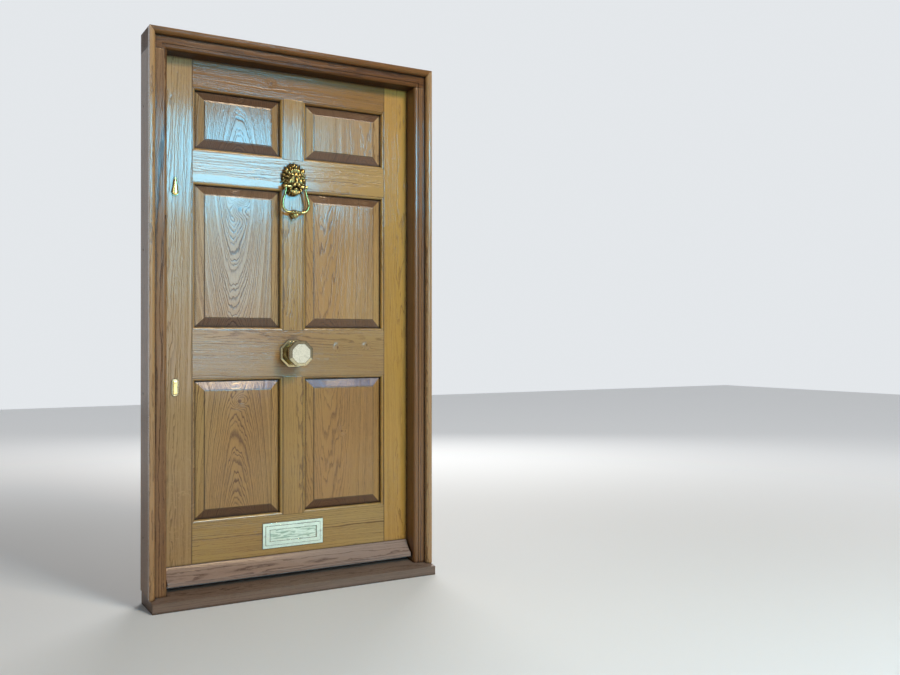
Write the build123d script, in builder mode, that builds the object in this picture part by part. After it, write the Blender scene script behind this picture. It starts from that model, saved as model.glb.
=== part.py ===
import os
from math import cos, radians, sin, sqrt

from build123d import *

os.makedirs("parts", exist_ok=True)

# A panelled oak front door in its frame, in millimetres.
# X runs to the right as seen from outside, Y into the house and Z up.
# The origin is under the sill, half way along it, in the plane of the frame's front face.

# Frame
frame_width = 1150
frame_height = 2092
jamb_face = 69
head_face = 71
stop_depth = 70
rebate = 16
leaf_gap = 3
stop_gap = 1
arris_width = 20
arris_quirk = 2.5
arris_round = 13
frame_tenon = 36
frame_tenon_length = 30
fixing_hole_r = 4
fixing_hole_count = 4
fixing_hole_margin = 200
fixing_hole_back = 5

# Outer cover moulding
cover_width = 23
cover_stand = 23
cover_flat = 7
cover_lip = 8

# Sill and water bar
sill_nose = 58
sill_front = 35
sill_height = 50
sill_short = 3.5
sill_slope_back = 60
drip_groove = 7
bar_thickness = 6
bar_stand = 9
bar_depth = 16
bar_setback = 8
bar_clearance = 2

# Leaf
leaf_thickness = 45
stile_width = 120
muntin_width = 82
top_rail_height = 115.5
top_panel_height = 240.5
frieze_rail_height = 113
middle_panel_height = 559
lock_rail_height = 179
bottom_rail_height = 229.5
sticking_width = 12
sticking_depth = 10
sticking_quirk = 1.5
groove_width = 13
tenon_thickness = 15
tenon_length = 80
tenon_shoulder = 15
tenon_twin = 50
haunch = 40
muntin_tenon_length = 30
muntin_tenon_width = 50

# Raised and fielded panels
bevel_width = 36
field_setback = 3
field_step = 2
tongue_play = 0.2
tongue_gap = 2

# Weatherboard
board_bottom = 68
board_height = 63
board_stand = 48
board_gap = 6
board_nose = 14
board_lip = 5
board_sweep_in = 19.8
board_sweep_up = 17.6

# Butt hinges
hinge_height = 102
hinge_plate = 2.5
hinge_plate_width = 32
hinge_from_top = 150
hinge_from_bottom = 225
hinge_screw_inner = 11.5
hinge_screw_outer = 21.8
hinge_screw_end = 12.2
knuckle_r = 6.2
knuckle_count = 5
knuckle_gap = 0.3
pin_r = 3
pin_fit = 0.05
pin_head_r = 4.6
pin_head = 2

# Countersunk wood screws
screw_head_r = 4.2
screw_head = 2.4
screw_r = 2
screw_length = 28
screw_play = 0.05

# Mortice deadlocks and their keeps
backset = 57
case_depth = 76
case_height = 100
case_thickness = 16
case_play = 0.25
forend_width = 20
forend_height = 140
forend_thickness = 3
bolt_height = 25
bolt_thickness = 10
bolt_length = 39
bolt_throw = 20
bolt_play = 0.2
keep_width = 25
keep_height = 100
keep_thickness = 2.5
keep_play = 1.5
keep_pocket = 24
keep_screw_end = 12
forend_screw_end = 9.8
key_r = 4
key_slot = 4
key_drop = 12
upper_key_below_rail = 37
lower_key_below_rail = 42

# Escutcheons with swinging covers
escutcheon_thickness = 3
cover_plate = 2.5
cover_play = 0.3
pear_r = 14.5
pear_top_r = 5.5
pear_height = 71
pear_rim = 1
pear_key_offset = 10
oblong_height = 64
oblong_width = 25
oblong_cover_height = 52
oblong_cover_width = 18
oblong_key_offset = 8
cover_pin_r = 1.5
cover_pin_head_r = 3

# Octagonal centre knob
rose_across = 107
rose_thickness = 9
rose_bevel = 7
knob_across = 98
knob_stand = 90
knob_body = 24
knob_bevel = 12
knob_bevel_depth = 6
knob_back_bevel = 14
neck_r = 17
neck_foot_r = 27
spindle_r = 5
spindle_fit = 0.05
spindle_bite = 14
nut_across = 17
nut_thickness = 8
washer_r = 16
washer_thickness = 2

# Letter plate
letter_width = 250
letter_height = 98
letter_thickness = 5
letter_rim = 12
letter_rim_step = 2
aperture_width = 195
aperture_height = 46
flap_thickness = 2.5
flap_setback = 1.5
flap_gap = 1
flap_end_gap = 2.5
flap_rod_r = 2
flap_rod_fit = 0.05
flap_eye_r = 4.2
flap_eye_length = 16
flap_rod_back = 6
slot_width = 214
slot_height = 62
letter_bolt_r = 2.5
letter_bolt_x = 114
inner_plate_thickness = 3
through_nut_across = 9
through_nut_thickness = 4
spring_r = 4.6
spring_length = 34

# Lion's head knocker
mask_width = 120
mask_height = 146
mask_drop = 3
mask_back = 8
skull_r = 34
ring_out = 28
ring_wire_r = 5
eyelet_r = 7
ring_pivot_drop = 31
ring_pivot_x = 40
ring_arm_drop = 25
ring_half = 55
ring_shoulder_drop = 62
ring_belly_drop = 88
ring_foot_half = 38
ring_drop = 101
ring_corner = 24
finial_r = 10
finial_length = 31
finial_tip_r = 2.5
scroll_r = 6.5
peg_r = 3.5
peg_fit = 0.05
peg_bite = 12
boss_r = 6.5
strike_r = 9
strike_gap = 0.3
strike_plate = 3
strike_plate_r = 15
strike_plate_drop = 20
strike_tip_r = 2
lock_r = 8.6
outer_locks = 22
middle_locks = 18
inner_locks = 14
knocker_bolt_x = 35
knocker_bolt_r = 2.5

# Places that follow from the sizes above
half_frame = frame_width / 2
half_stop = half_frame - jamb_face
half_rebate = half_stop + rebate
soffit = frame_height - head_face
leaf_front = stop_depth + stop_gap
leaf_back = leaf_front + leaf_thickness
leaf_mid = (leaf_front + leaf_back) / 2
frame_depth = leaf_back
half_leaf = half_rebate - leaf_gap
leaf_top = soffit + rebate - leaf_gap
leaf_bottom = sill_height + leaf_gap
half_field = half_leaf - stile_width
half_muntin = muntin_width / 2

top_rail_bottom = leaf_top - top_rail_height
frieze_rail_top = top_rail_bottom - top_panel_height
frieze_rail_bottom = frieze_rail_top - frieze_rail_height
lock_rail_top = frieze_rail_bottom - middle_panel_height
lock_rail_bottom = lock_rail_top - lock_rail_height
bottom_rail_top = leaf_bottom + bottom_rail_height

columns = {"left": (-half_field, -half_muntin), "right": (half_muntin, half_field)}
rows = {
    "top": (frieze_rail_top, top_rail_bottom),
    "middle": (lock_rail_top, frieze_rail_bottom),
    "lower": (bottom_rail_top, lock_rail_bottom),
}

axis_x = (half_leaf + half_rebate) / 2
axis_y = leaf_back + knuckle_r + knuckle_gap
hinges = {
    "top": leaf_top - hinge_from_top - hinge_height / 2,
    "middle": (leaf_top + leaf_bottom - hinge_from_top + hinge_from_bottom) / 2,
    "bottom": leaf_bottom + hinge_from_bottom + hinge_height / 2,
}
key_x = backset - half_leaf
keys = {
    "upper": frieze_rail_bottom - upper_key_below_rail,
    "lower": lock_rail_bottom - lower_key_below_rail,
}
case_drop = case_height / 4
board_top = board_bottom + board_height
letter_z = (board_top + bottom_rail_top) / 2
knob_z = (lock_rail_top + lock_rail_bottom) / 2
mask_z = frieze_rail_top - mask_drop - mask_height / 2
far = frame_width + frame_height


def block(x0, x1, y0, y1, z0, z1, mode=Mode.ADD):
    """A square-edged piece between two corners."""
    with Locations(((x0 + x1) / 2, (y0 + y1) / 2, (z0 + z1) / 2)):
        Box(x1 - x0, y1 - y0, z1 - z0, mode=mode)


def rod(x, z, radius, y0, y1, mode=Mode.ADD):
    """A round bar or hole that runs through the door, along Y."""
    with Locations(Location((x, (y0 + y1) / 2, z), (90, 0, 0))):
        Cylinder(radius, y1 - y0, mode=mode)


def save(piece, name):
    """Labels a finished piece and writes it."""
    piece.part.label = name
    export_step(piece.part, f"parts/{name}.step")


# Moulding that is run off the frame's inner arris, jambs and head in one, with its corners mitred
with BuildPart() as arris_waste:
    with BuildLine(Plane.XZ):
        Polyline((-half_stop, -1), (-half_stop, soffit), (half_stop, soffit), (half_stop, -1))
    with BuildSketch(Plane.XY.offset(-1)):
        with BuildLine():
            inner = -half_stop
            Polyline(
                (inner - arris_round, arris_quirk),
                (inner - arris_width, arris_quirk),
                (inner - arris_width, -1),
                (inner + 1, -1),
                (inner + 1, arris_quirk + arris_round),
                (inner, arris_quirk + arris_round),
            )
            ThreePointArc(
                (inner, arris_quirk + arris_round),
                (inner - arris_round * (1 - sqrt(0.5)), arris_quirk + arris_round * (1 - sqrt(0.5))),
                (inner - arris_round, arris_quirk),
            )
        make_face()
    sweep(transition=Transition.RIGHT)

# All that lies below the weathered top of the sill
with BuildPart() as below_sill:
    with BuildSketch(Plane.YZ.offset(-half_frame)):
        with BuildLine():
            Polyline(
                (-sill_nose, -far),
                (-sill_nose, sill_front),
                (sill_slope_back, sill_height),
                (frame_depth + 1, sill_height),
                (frame_depth + 1, -far),
                close=True,
            )
        make_face()
    extrude(amount=frame_width)

# Tenons at the ends of the jambs, as (x0, x1) on the right and (y0, y1)
tenon_x = (half_rebate + 8, half_rebate + 8 + frame_tenon)
tenon_y = (stop_depth / 2 - frame_tenon / 2, stop_depth / 2 + frame_tenon / 2)

# Countersunk screw, its head's face at the origin and its shank towards -Z
with BuildPart() as screw:
    with Locations((0, 0, -screw_head / 2)):
        Cone(screw_r, screw_head_r, screw_head)
    with Locations((0, 0, -(screw_head + screw_length) / 2)):
        Cylinder(screw_r, screw_length - screw_head)

with BuildPart() as screw_hole:
    with Locations((0, 0, -screw_head / 2)):
        Cone(screw_r + screw_play, screw_head_r + screw_play, screw_head)
    with Locations((0, 0, -(screw_head + screw_length) / 2)):
        Cylinder(screw_r + screw_play, screw_length - screw_head + screw_play * 2)


def hinge_screws(side):
    """Places of the screws through one set of hinge plates: side is 1 on the frame, -1 on the leaf."""
    x = half_rebate if side > 0 else half_leaf
    places = []
    for centre in hinges.values():
        for number in range(4):
            y = leaf_back - (hinge_screw_inner if number % 2 else hinge_screw_outer)
            z = centre + (hinge_height - 2 * hinge_screw_end) * (number / 3 - 1 / 2)
            places.append(Location((x, y, z), (0, -90 * side, 0)))
    return places


keep_screws = [
    Location((-half_rebate, leaf_mid, keys[name] - case_drop + end * (keep_height / 2 - keep_screw_end)),
             (0, 90, 0))
    for name in keys
    for end in (-1, 1)
]
forend_screws = [
    Location((-half_leaf, leaf_mid, keys[name] - case_drop + end * (forend_height / 2 - forend_screw_end)),
             (0, -90, 0))
    for name in keys
    for end in (-1, 1)
]

# Jambs, stub-tenoned into the head and the sill
for name, side in (("left_jamb", -1), ("right_jamb", 1)):
    with BuildPart() as jamb:
        x0, x1 = sorted((side * half_stop, side * half_frame))
        block(x0, x1, 0, frame_depth, 0, soffit)
        x0, x1 = sorted((side * half_stop, side * half_rebate))
        block(x0, x1, stop_depth, frame_depth, 0, soffit, Mode.SUBTRACT)
        add(arris_waste.part, mode=Mode.SUBTRACT)
        add(below_sill.part, mode=Mode.SUBTRACT)
        x0, x1 = sorted((side * tenon_x[0], side * tenon_x[1]))
        block(x0, x1, *tenon_y, sill_height - frame_tenon_length, soffit + frame_tenon_length)
        fixing_y = stop_depth + fixing_hole_back
        hole_reach = (half_frame - half_rebate) / 2
        pitch = (soffit - sill_height - 2 * fixing_hole_margin) / (fixing_hole_count - 1)
        for number in range(fixing_hole_count):
            hole_z = sill_height + fixing_hole_margin + number * pitch
            with Locations(Location((side * (half_rebate + hole_reach), fixing_y, hole_z), (0, 90, 0))):
                Cylinder(fixing_hole_r, 2 * hole_reach + 2, mode=Mode.SUBTRACT)
        if side > 0:
            for centre in hinges.values():
                block(half_rebate, half_rebate + hinge_plate, leaf_back - hinge_plate_width, leaf_back,
                      centre - hinge_height / 2, centre + hinge_height / 2, Mode.SUBTRACT)
            for place in hinge_screws(1):
                add(screw_hole.part.moved(place), mode=Mode.SUBTRACT)
        else:
            for key_z in keys.values():
                middle = key_z - case_drop
                block(-half_rebate - keep_thickness, -half_rebate, leaf_mid - keep_width / 2,
                      leaf_mid + keep_width / 2, middle - keep_height / 2, middle + keep_height / 2,
                      Mode.SUBTRACT)
                reach_y = bolt_thickness / 2 + keep_play
                reach_z = bolt_height / 2 + keep_play
                block(-half_rebate - keep_pocket, -half_rebate, leaf_mid - reach_y, leaf_mid + reach_y,
                      middle - reach_z, middle + reach_z, Mode.SUBTRACT)
            for place in keep_screws:
                add(screw_hole.part.moved(place), mode=Mode.SUBTRACT)
    save(jamb, name)

# Head, which runs over the jambs
with BuildPart() as head:
    block(-half_frame, half_frame, 0, frame_depth, soffit, frame_height)
    block(-half_rebate, half_rebate, stop_depth, frame_depth, soffit, soffit + rebate, Mode.SUBTRACT)
    add(arris_waste.part, mode=Mode.SUBTRACT)
    for side in (-1, 1):
        x0, x1 = sorted((side * tenon_x[0], side * tenon_x[1]))
        block(x0, x1, *tenon_y, soffit, soffit + frame_tenon_length, Mode.SUBTRACT)
save(head, "head")

# Sill, weathered on top and throated under its nose
half_sill = half_frame - sill_short
with BuildPart() as sill:
    block(-half_sill, half_sill, -sill_nose, frame_depth, 0, sill_height)
    with BuildSketch(Plane.YZ.offset(-half_sill)):
        with BuildLine():
            Polyline(
                (-sill_nose, sill_front),
                (sill_slope_back, sill_height),
                (-sill_nose, sill_height),
                close=True,
            )
        make_face()
    extrude(amount=2 * half_sill, mode=Mode.SUBTRACT)
    for side in (-1, 1):
        x0, x1 = sorted((side * tenon_x[0], side * tenon_x[1]))
        block(x0, x1, *tenon_y, sill_height - frame_tenon_length, sill_height, Mode.SUBTRACT)
    groove_y = -sill_nose + 2 * drip_groove
    block(-half_sill, half_sill, groove_y, groove_y + drip_groove, 0, drip_groove, Mode.SUBTRACT)
    bar_y = leaf_front + bar_setback
    block(-half_rebate, half_rebate, bar_y, bar_y + bar_thickness, sill_height - bar_depth, sill_height,
          Mode.SUBTRACT)
save(sill, "sill")

# Water bar, let into the sill under the leaf's rebated foot
with BuildPart() as water_bar:
    block(-half_rebate, half_rebate, bar_y, bar_y + bar_thickness, sill_height - bar_depth,
          sill_height + bar_stand)
save(water_bar, "water_bar")

# Section of the outer cover moulding: out from the outer edge, and forwards from the frame's face
with BuildSketch() as cover_section:
    with BuildLine():
        round_x = cover_width - cover_flat
        round_y = cover_stand - cover_lip
        Polyline((0, 0), (0, cover_stand), (cover_flat, cover_stand))
        EllipticalCenterArc((cover_flat, cover_lip), round_x, round_y, 0, arc_size=90)
        Polyline((cover_width, cover_lip), (cover_width, 0), (0, 0))
    make_face()

# Side mouldings, which stand on the sill and are mitred at the head
for name, side in (("left_moulding", -1), ("right_moulding", 1)):
    with BuildPart() as moulding:
        with BuildSketch(Plane((side * half_frame, 0, 0), x_dir=(-side, 0, 0), z_dir=(0, 0, side))):
            add(cover_section.sketch)
        extrude(amount=side * frame_height)
        add(below_sill.part, mode=Mode.SUBTRACT)
        corner = (side * half_frame, 0, frame_height)
        split(bisect_by=Plane(corner, x_dir=(0, 1, 0), z_dir=(-side, 0, 1)), keep=Keep.BOTTOM)
    save(moulding, name)

# Head moulding, mitred to the side ones
with BuildPart() as head_moulding:
    with BuildSketch(Plane((-half_frame, 0, frame_height), x_dir=(0, 0, -1), z_dir=(-1, 0, 0))):
        add(cover_section.sketch)
    extrude(amount=-frame_width)
    for side in (-1, 1):
        corner = (side * half_frame, 0, frame_height)
        split(bisect_by=Plane(corner, x_dir=(0, 1, 0), z_dir=(-side, 0, 1)), keep=Keep.TOP)
save(head_moulding, "head_moulding")


def stuck_beads(length, place):
    """The two beads stuck on one edge of a member, outside and inside, with mitred ends.

    They are made along X with their arris at Z = 0 and their sight edge below it, then put in place.
    """
    with BuildPart() as beads:
        with BuildSketch(Plane.YZ.offset(-length / 2)):
            for face, inwards in ((leaf_front, 1), (leaf_back, -1)):
                with BuildLine():
                    wall = leaf_mid - inwards * groove_width / 2
                    curl = sticking_width - sticking_quirk
                    deep = face + inwards * sticking_depth
                    start = face + inwards * sticking_quirk
                    Polyline((start, -sticking_quirk), (face, -sticking_quirk), (face, 0), (wall, 0),
                             (wall, -sticking_width), (deep, -sticking_width))
                    ThreePointArc(
                        (deep, -sticking_width),
                        (start + (deep - start) * (1 - sqrt(0.5)), -sticking_quirk - curl * sqrt(0.5)),
                        (start, -sticking_quirk),
                    )
                make_face()
        extrude(amount=length)
        for end in (-1, 1):
            mitre = Plane((end * length / 2, 0, 0), x_dir=(0, 1, 0), z_dir=(end, 0, -1))
            split(bisect_by=mitre, keep=Keep.BOTTOM)
    return beads.part.moved(place)


def beads_beside(column, row, side):
    """The stuck beads on one side of a panel opening."""
    (x0, x1), (z0, z1) = columns[column], rows[row]
    middle_x, middle_z = (x0 + x1) / 2, (z0 + z1) / 2
    places = {
        "top": (x1 - x0, Location((middle_x, 0, z1))),
        "bottom": (x1 - x0, Location((middle_x, 0, z0), (0, 180, 0))),
        "left": (z1 - z0, Location((x0, 0, middle_z), (0, -90, 0))),
        "right": (z1 - z0, Location((x1, 0, middle_z), (0, 90, 0))),
    }
    return stuck_beads(*places[side])


rails = {
    "top_rail": (top_rail_bottom, leaf_top),
    "frieze_rail": (frieze_rail_bottom, frieze_rail_top),
    "lock_rail": (lock_rail_bottom, lock_rail_top),
    "bottom_rail": (leaf_bottom, bottom_rail_top),
}


def tenon_spans(name):
    """The heights between which a rail's tenons lie, as pairs."""
    z0, z1 = rails[name]
    if name == "top_rail":
        return [(z0 + tenon_shoulder, z1 - haunch)]
    if name == "frieze_rail":
        return [(z0 + tenon_shoulder, z1 - tenon_shoulder)]
    low = z0 + (haunch if name == "bottom_rail" else tenon_shoulder)
    high = z1 - tenon_shoulder
    return [(low, low + tenon_twin), (high - tenon_twin, high)]


tenon_cheeks = (leaf_mid - tenon_thickness / 2, leaf_mid + tenon_thickness / 2)
bar_rebate_depth = bar_setback + bar_thickness + bar_clearance
bar_rebate_top = sill_height + bar_stand + bar_clearance


def cut_foot_rebate():
    """The rebate across the foot of the leaf that clears the water bar."""
    block(-half_leaf, half_leaf, leaf_front, leaf_front + bar_rebate_depth, leaf_bottom, bar_rebate_top,
          Mode.SUBTRACT)


# Stiles, which run the full height and take the rails' tenons
stile_beads = {
    "lock_stile": [beads_beside("left", row, "left") for row in rows],
    "hinge_stile": [beads_beside("right", row, "right") for row in rows],
}
for name, side in (("lock_stile", -1), ("hinge_stile", 1)):
    with BuildPart() as stile:
        x0, x1 = sorted((side * half_field, side * half_leaf))
        block(x0, x1, leaf_front, leaf_back, leaf_bottom, leaf_top)
        for beads in stile_beads[name]:
            add(beads)
        x0, x1 = sorted((side * half_field, side * (half_field + tenon_length)))
        for rail_name in rails:
            for z0, z1 in tenon_spans(rail_name):
                block(x0, x1, *tenon_cheeks, z0, z1, Mode.SUBTRACT)
        cut_foot_rebate()
        if side > 0:
            for centre in hinges.values():
                block(half_leaf - hinge_plate, half_leaf, leaf_back - hinge_plate_width, leaf_back,
                      centre - hinge_height / 2, centre + hinge_height / 2, Mode.SUBTRACT)
            for place in hinge_screws(-1):
                add(screw_hole.part.moved(place), mode=Mode.SUBTRACT)
        else:
            for key_z in keys.values():
                middle = key_z - case_drop
                reach_y = case_thickness / 2 + case_play
                reach_z = case_height / 2 + case_play
                block(-half_leaf, case_depth - half_leaf + case_play, leaf_mid - reach_y,
                      leaf_mid + reach_y, middle - reach_z, middle + reach_z, Mode.SUBTRACT)
                block(-half_leaf, forend_thickness - half_leaf, leaf_mid - forend_width / 2,
                      leaf_mid + forend_width / 2, middle - forend_height / 2,
                      middle + forend_height / 2, Mode.SUBTRACT)
                rod(key_x, key_z, key_r, leaf_front, leaf_back, Mode.SUBTRACT)
                block(key_x - key_slot / 2, key_x + key_slot / 2, leaf_front, leaf_back,
                      key_z - key_drop, key_z, Mode.SUBTRACT)
            for place in forend_screws:
                add(screw_hole.part.moved(place), mode=Mode.SUBTRACT)
    save(stile, name)

# Rails, tenoned into the stiles and mortised for the muntins
rail_sides = {
    "top_rail": [("top", "top")],
    "frieze_rail": [("top", "bottom"), ("middle", "top")],
    "lock_rail": [("middle", "bottom"), ("lower", "top")],
    "bottom_rail": [("lower", "bottom")],
}
for name, (z0, z1) in rails.items():
    rail_beads = [beads_beside(column, row, side) for column in columns for row, side in rail_sides[name]]
    with BuildPart() as rail:
        block(-half_field, half_field, leaf_front, leaf_back, z0, z1)
        for low, high in tenon_spans(name):
            reach = half_field + tenon_length
            block(-reach, reach, *tenon_cheeks, low, high)
        for beads in rail_beads:
            add(beads)
        half_tenon = muntin_tenon_width / 2
        if name != "bottom_rail":
            block(-half_tenon, half_tenon, *tenon_cheeks, z0, z0 + muntin_tenon_length, Mode.SUBTRACT)
        if name != "top_rail":
            block(-half_tenon, half_tenon, *tenon_cheeks, z1 - muntin_tenon_length, z1, Mode.SUBTRACT)
        if name == "frieze_rail":
            for side in (-1, 1):
                rod(side * knocker_bolt_x, mask_z, knocker_bolt_r, leaf_front, leaf_back, Mode.SUBTRACT)
        if name == "lock_rail":
            rod(0, knob_z, spindle_r, leaf_front, leaf_back, Mode.SUBTRACT)
        if name == "bottom_rail":
            cut_foot_rebate()
            block(-slot_width / 2, slot_width / 2, leaf_front, leaf_back, letter_z - slot_height / 2,
                  letter_z + slot_height / 2, Mode.SUBTRACT)
            for side in (-1, 1):
                rod(side * letter_bolt_x, letter_z, letter_bolt_r, leaf_front, leaf_back, Mode.SUBTRACT)
    save(rail, name)

# Muntins, stub-tenoned between the rails
for row, (z0, z1) in rows.items():
    muntin_beads = [beads_beside("left", row, "right"), beads_beside("right", row, "left")]
    with BuildPart() as muntin:
        block(-half_muntin, half_muntin, leaf_front, leaf_back, z0, z1)
        block(-muntin_tenon_width / 2, muntin_tenon_width / 2, *tenon_cheeks,
              z0 - muntin_tenon_length, z1 + muntin_tenon_length)
        for beads in muntin_beads:
            add(beads)
    save(muntin, f"{row}_muntin")

# Panels, raised and fielded on both sides, held by their tongues in the grooves
half_tongue = groove_width / 2 - tongue_play
half_raise = leaf_thickness / 2 - field_setback
for row, (z0, z1) in rows.items():
    for column, (x0, x1) in columns.items():
        middle = ((x0 + x1) / 2, (z0 + z1) / 2)
        width, height = x1 - x0, z1 - z0
        field = (width - 2 * (sticking_width + bevel_width), height - 2 * (sticking_width + bevel_width))
        with BuildPart() as panel:
            with BuildSketch(Plane.XZ.offset(-leaf_mid)):
                with Locations(middle):
                    Rectangle(width - 2 * tongue_gap, height - 2 * tongue_gap)
            extrude(amount=half_tongue, both=True)
            for side in (-1, 1):
                with BuildSketch(Plane.XZ.offset(-leaf_mid + side * half_tongue)):
                    with Locations(middle):
                        Rectangle(width - 2 * sticking_width, height - 2 * sticking_width)
                with BuildSketch(Plane.XZ.offset(-leaf_mid + side * (half_raise - field_step))):
                    with Locations(middle):
                        Rectangle(*field)
                loft()
                with BuildSketch(Plane.XZ.offset(-leaf_mid + side * (half_raise - field_step))):
                    with Locations(middle):
                        Rectangle(*field)
                extrude(amount=side * field_step)
        save(panel, f"{row}_{column}_panel")

# Weatherboard, which throws rain clear of the sill
half_board = half_stop - board_gap
with BuildPart() as weatherboard:
    with BuildSketch(Plane.YZ.offset(-half_board)):
        with BuildLine():
            nose_y = leaf_front - board_stand
            lip_y = leaf_front - board_lip
            Polyline(
                (lip_y, board_top), (leaf_front, board_top), (leaf_front, board_bottom),
                (nose_y + 3 * drip_groove, board_bottom),
                (nose_y + 3 * drip_groove, board_bottom + drip_groove / 2),
                (nose_y + 2 * drip_groove, board_bottom + drip_groove / 2),
                (nose_y + 2 * drip_groove, board_bottom),
                (nose_y, board_bottom), (nose_y, board_bottom + board_nose),
            )
            ThreePointArc(
                (nose_y, board_bottom + board_nose),
                (nose_y + board_sweep_in, board_bottom + board_nose + board_sweep_up),
                (lip_y, board_top),
            )
        make_face()
    extrude(amount=2 * half_board)
save(weatherboard, "weatherboard")

# Butt hinges: plates let into the jamb and the stile, with knuckles that take turns on the pin
knuckle = hinge_height / knuckle_count
for name, centre in hinges.items():
    for owner, plate_x, out, first in (("frame", half_rebate, 1, 0), ("door", half_leaf, -1, 1)):
        with BuildPart() as hinge:
            x0, x1 = sorted((plate_x, plate_x + out * hinge_plate))
            clear_y = axis_y - knuckle_r - knuckle_gap
            block(x0, x1, leaf_back - hinge_plate_width, clear_y, centre - hinge_height / 2,
                  centre + hinge_height / 2)
            for number in range(first, knuckle_count, 2):
                low = centre - hinge_height / 2 + number * knuckle + knuckle_gap / 2
                high = low + knuckle - knuckle_gap
                block(x0, x1, clear_y, axis_y, low, high)
                with Locations((axis_x, axis_y, (low + high) / 2)):
                    Cylinder(knuckle_r, high - low)
            with Locations((axis_x, axis_y, centre)):
                Cylinder(pin_r + pin_fit, hinge_height, mode=Mode.SUBTRACT)
            for place in hinge_screws(out):
                if abs(place.position.Z - centre) < hinge_height / 2:
                    add(screw_hole.part.moved(place), mode=Mode.SUBTRACT)
        save(hinge, f"{name}_hinge_{owner}_plate")

with BuildPart() as hinge_pins:
    for centre in hinges.values():
        with Locations((axis_x, axis_y, centre)):
            Cylinder(pin_r, hinge_height)
        with Locations((axis_x, axis_y, centre - (hinge_height + pin_head) / 2),
                       (axis_x, axis_y, centre + (hinge_height + pin_head) / 2)):
            Cylinder(pin_head_r, pin_head)
save(hinge_pins, "hinge_pins")

# Screws, as two groups: those in the frame and those in the leaf
for name, places in (("frame_screws", hinge_screws(1) + keep_screws),
                     ("leaf_screws", hinge_screws(-1) + forend_screws)):
    with BuildPart() as screws:
        for place in places:
            add(screw.part.moved(place))
    save(screws, name)

# Mortice deadlocks, each a case with its forend, a bolt and a keep in the jamb
for name, key_z in keys.items():
    middle = key_z - case_drop
    with BuildPart() as lock:
        block(forend_thickness - half_leaf, case_depth - half_leaf, leaf_mid - case_thickness / 2,
              leaf_mid + case_thickness / 2, middle - case_height / 2, middle + case_height / 2)
        block(-half_leaf, forend_thickness - half_leaf, leaf_mid - forend_width / 2,
              leaf_mid + forend_width / 2, middle - forend_height / 2, middle + forend_height / 2)
        reach_y = bolt_thickness / 2 + bolt_play
        reach_z = bolt_height / 2 + bolt_play
        block(-half_leaf, bolt_length - half_leaf + bolt_play, leaf_mid - reach_y, leaf_mid + reach_y,
              middle - reach_z, middle + reach_z, Mode.SUBTRACT)
        case_faces = (leaf_mid - case_thickness / 2, leaf_mid + case_thickness / 2)
        rod(key_x, key_z, key_r, *case_faces, Mode.SUBTRACT)
        block(key_x - key_slot / 2, key_x + key_slot / 2, *case_faces, key_z - key_drop, key_z,
              Mode.SUBTRACT)
        for place in forend_screws:
            if abs(place.position.Z - middle) < forend_height / 2:
                add(screw_hole.part.moved(place), mode=Mode.SUBTRACT)
    save(lock, f"{name}_lock")

    with BuildPart() as bolt:
        block(-half_leaf, bolt_length - half_leaf, leaf_mid - bolt_thickness / 2,
              leaf_mid + bolt_thickness / 2, middle - bolt_height / 2, middle + bolt_height / 2)
    save(bolt, f"{name}_bolt")

    with BuildPart() as keep:
        block(-half_rebate - keep_thickness, -half_rebate, leaf_mid - keep_width / 2,
              leaf_mid + keep_width / 2, middle - keep_height / 2, middle + keep_height / 2)
        reach_y = bolt_thickness / 2 + keep_play
        reach_z = bolt_height / 2 + keep_play
        block(-half_rebate - keep_thickness, -half_rebate, leaf_mid - reach_y, leaf_mid + reach_y,
              middle - reach_z, middle + reach_z, Mode.SUBTRACT)
        for place in keep_screws:
            if abs(place.position.Z - middle) < keep_height / 2:
                add(screw_hole.part.moved(place), mode=Mode.SUBTRACT)
    save(keep, f"{name}_keep")

# Outlines of the escutcheons on the door's face, as they are seen from outside
with BuildSketch() as pear:
    bulb_z = pear_r - pear_height / 2
    with Locations((0, bulb_z)):
        Circle(pear_r)
    with Locations((0, pear_height / 2 - pear_top_r)):
        Circle(pear_top_r)
    make_hull()

with BuildSketch() as oblong:
    SlotOverall(oblong_height, oblong_width, rotation=90)

with BuildSketch() as oblong_cover:
    SlotOverall(oblong_cover_height, oblong_cover_width, rotation=90)

with BuildSketch() as pear_plate:
    offset(pear.sketch, amount=-pear_rim)

plates = {
    "upper": (pear_plate.sketch, keys["upper"] + pear_key_offset),
    "lower": (oblong.sketch, keys["lower"] + oblong_key_offset),
}
covers = {
    "upper": (pear.sketch, pear_height / 2 - pear_top_r),
    "lower": (oblong_cover.sketch, oblong_cover_height / 2 - oblong_cover_width / 2),
}
pivots = {name: plates[name][1] + covers[name][1] for name in keys}
cover_back = leaf_front - escutcheon_thickness - cover_play
cover_face = cover_back - cover_plate

for name, (outline, centre_z) in plates.items():
    with BuildPart() as escutcheon:
        with BuildSketch(Plane.XZ.offset(-leaf_front)):
            with Locations((key_x, centre_z)):
                add(outline)
        extrude(amount=escutcheon_thickness)
        faces = (leaf_front - escutcheon_thickness, leaf_front)
        rod(key_x, keys[name], key_r, *faces, Mode.SUBTRACT)
        block(key_x - key_slot / 2, key_x + key_slot / 2, *faces, keys[name] - key_drop, keys[name],
              Mode.SUBTRACT)
        rod(key_x, pivots[name], cover_pin_r, *faces, Mode.SUBTRACT)
    save(escutcheon, f"{name}_escutcheon")

    with BuildPart() as cover:
        with BuildSketch(Plane.XZ.offset(-cover_back)):
            with Locations((key_x, centre_z)):
                add(covers[name][0])
        extrude(amount=cover_plate)
        chamfer(cover.faces().sort_by(Axis.Y)[0].edges(), cover_plate / 3)
        rod(key_x, pivots[name], cover_pin_r + flap_rod_fit, cover_face, cover_back, Mode.SUBTRACT)
    save(cover, f"{name}_cover")

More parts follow.
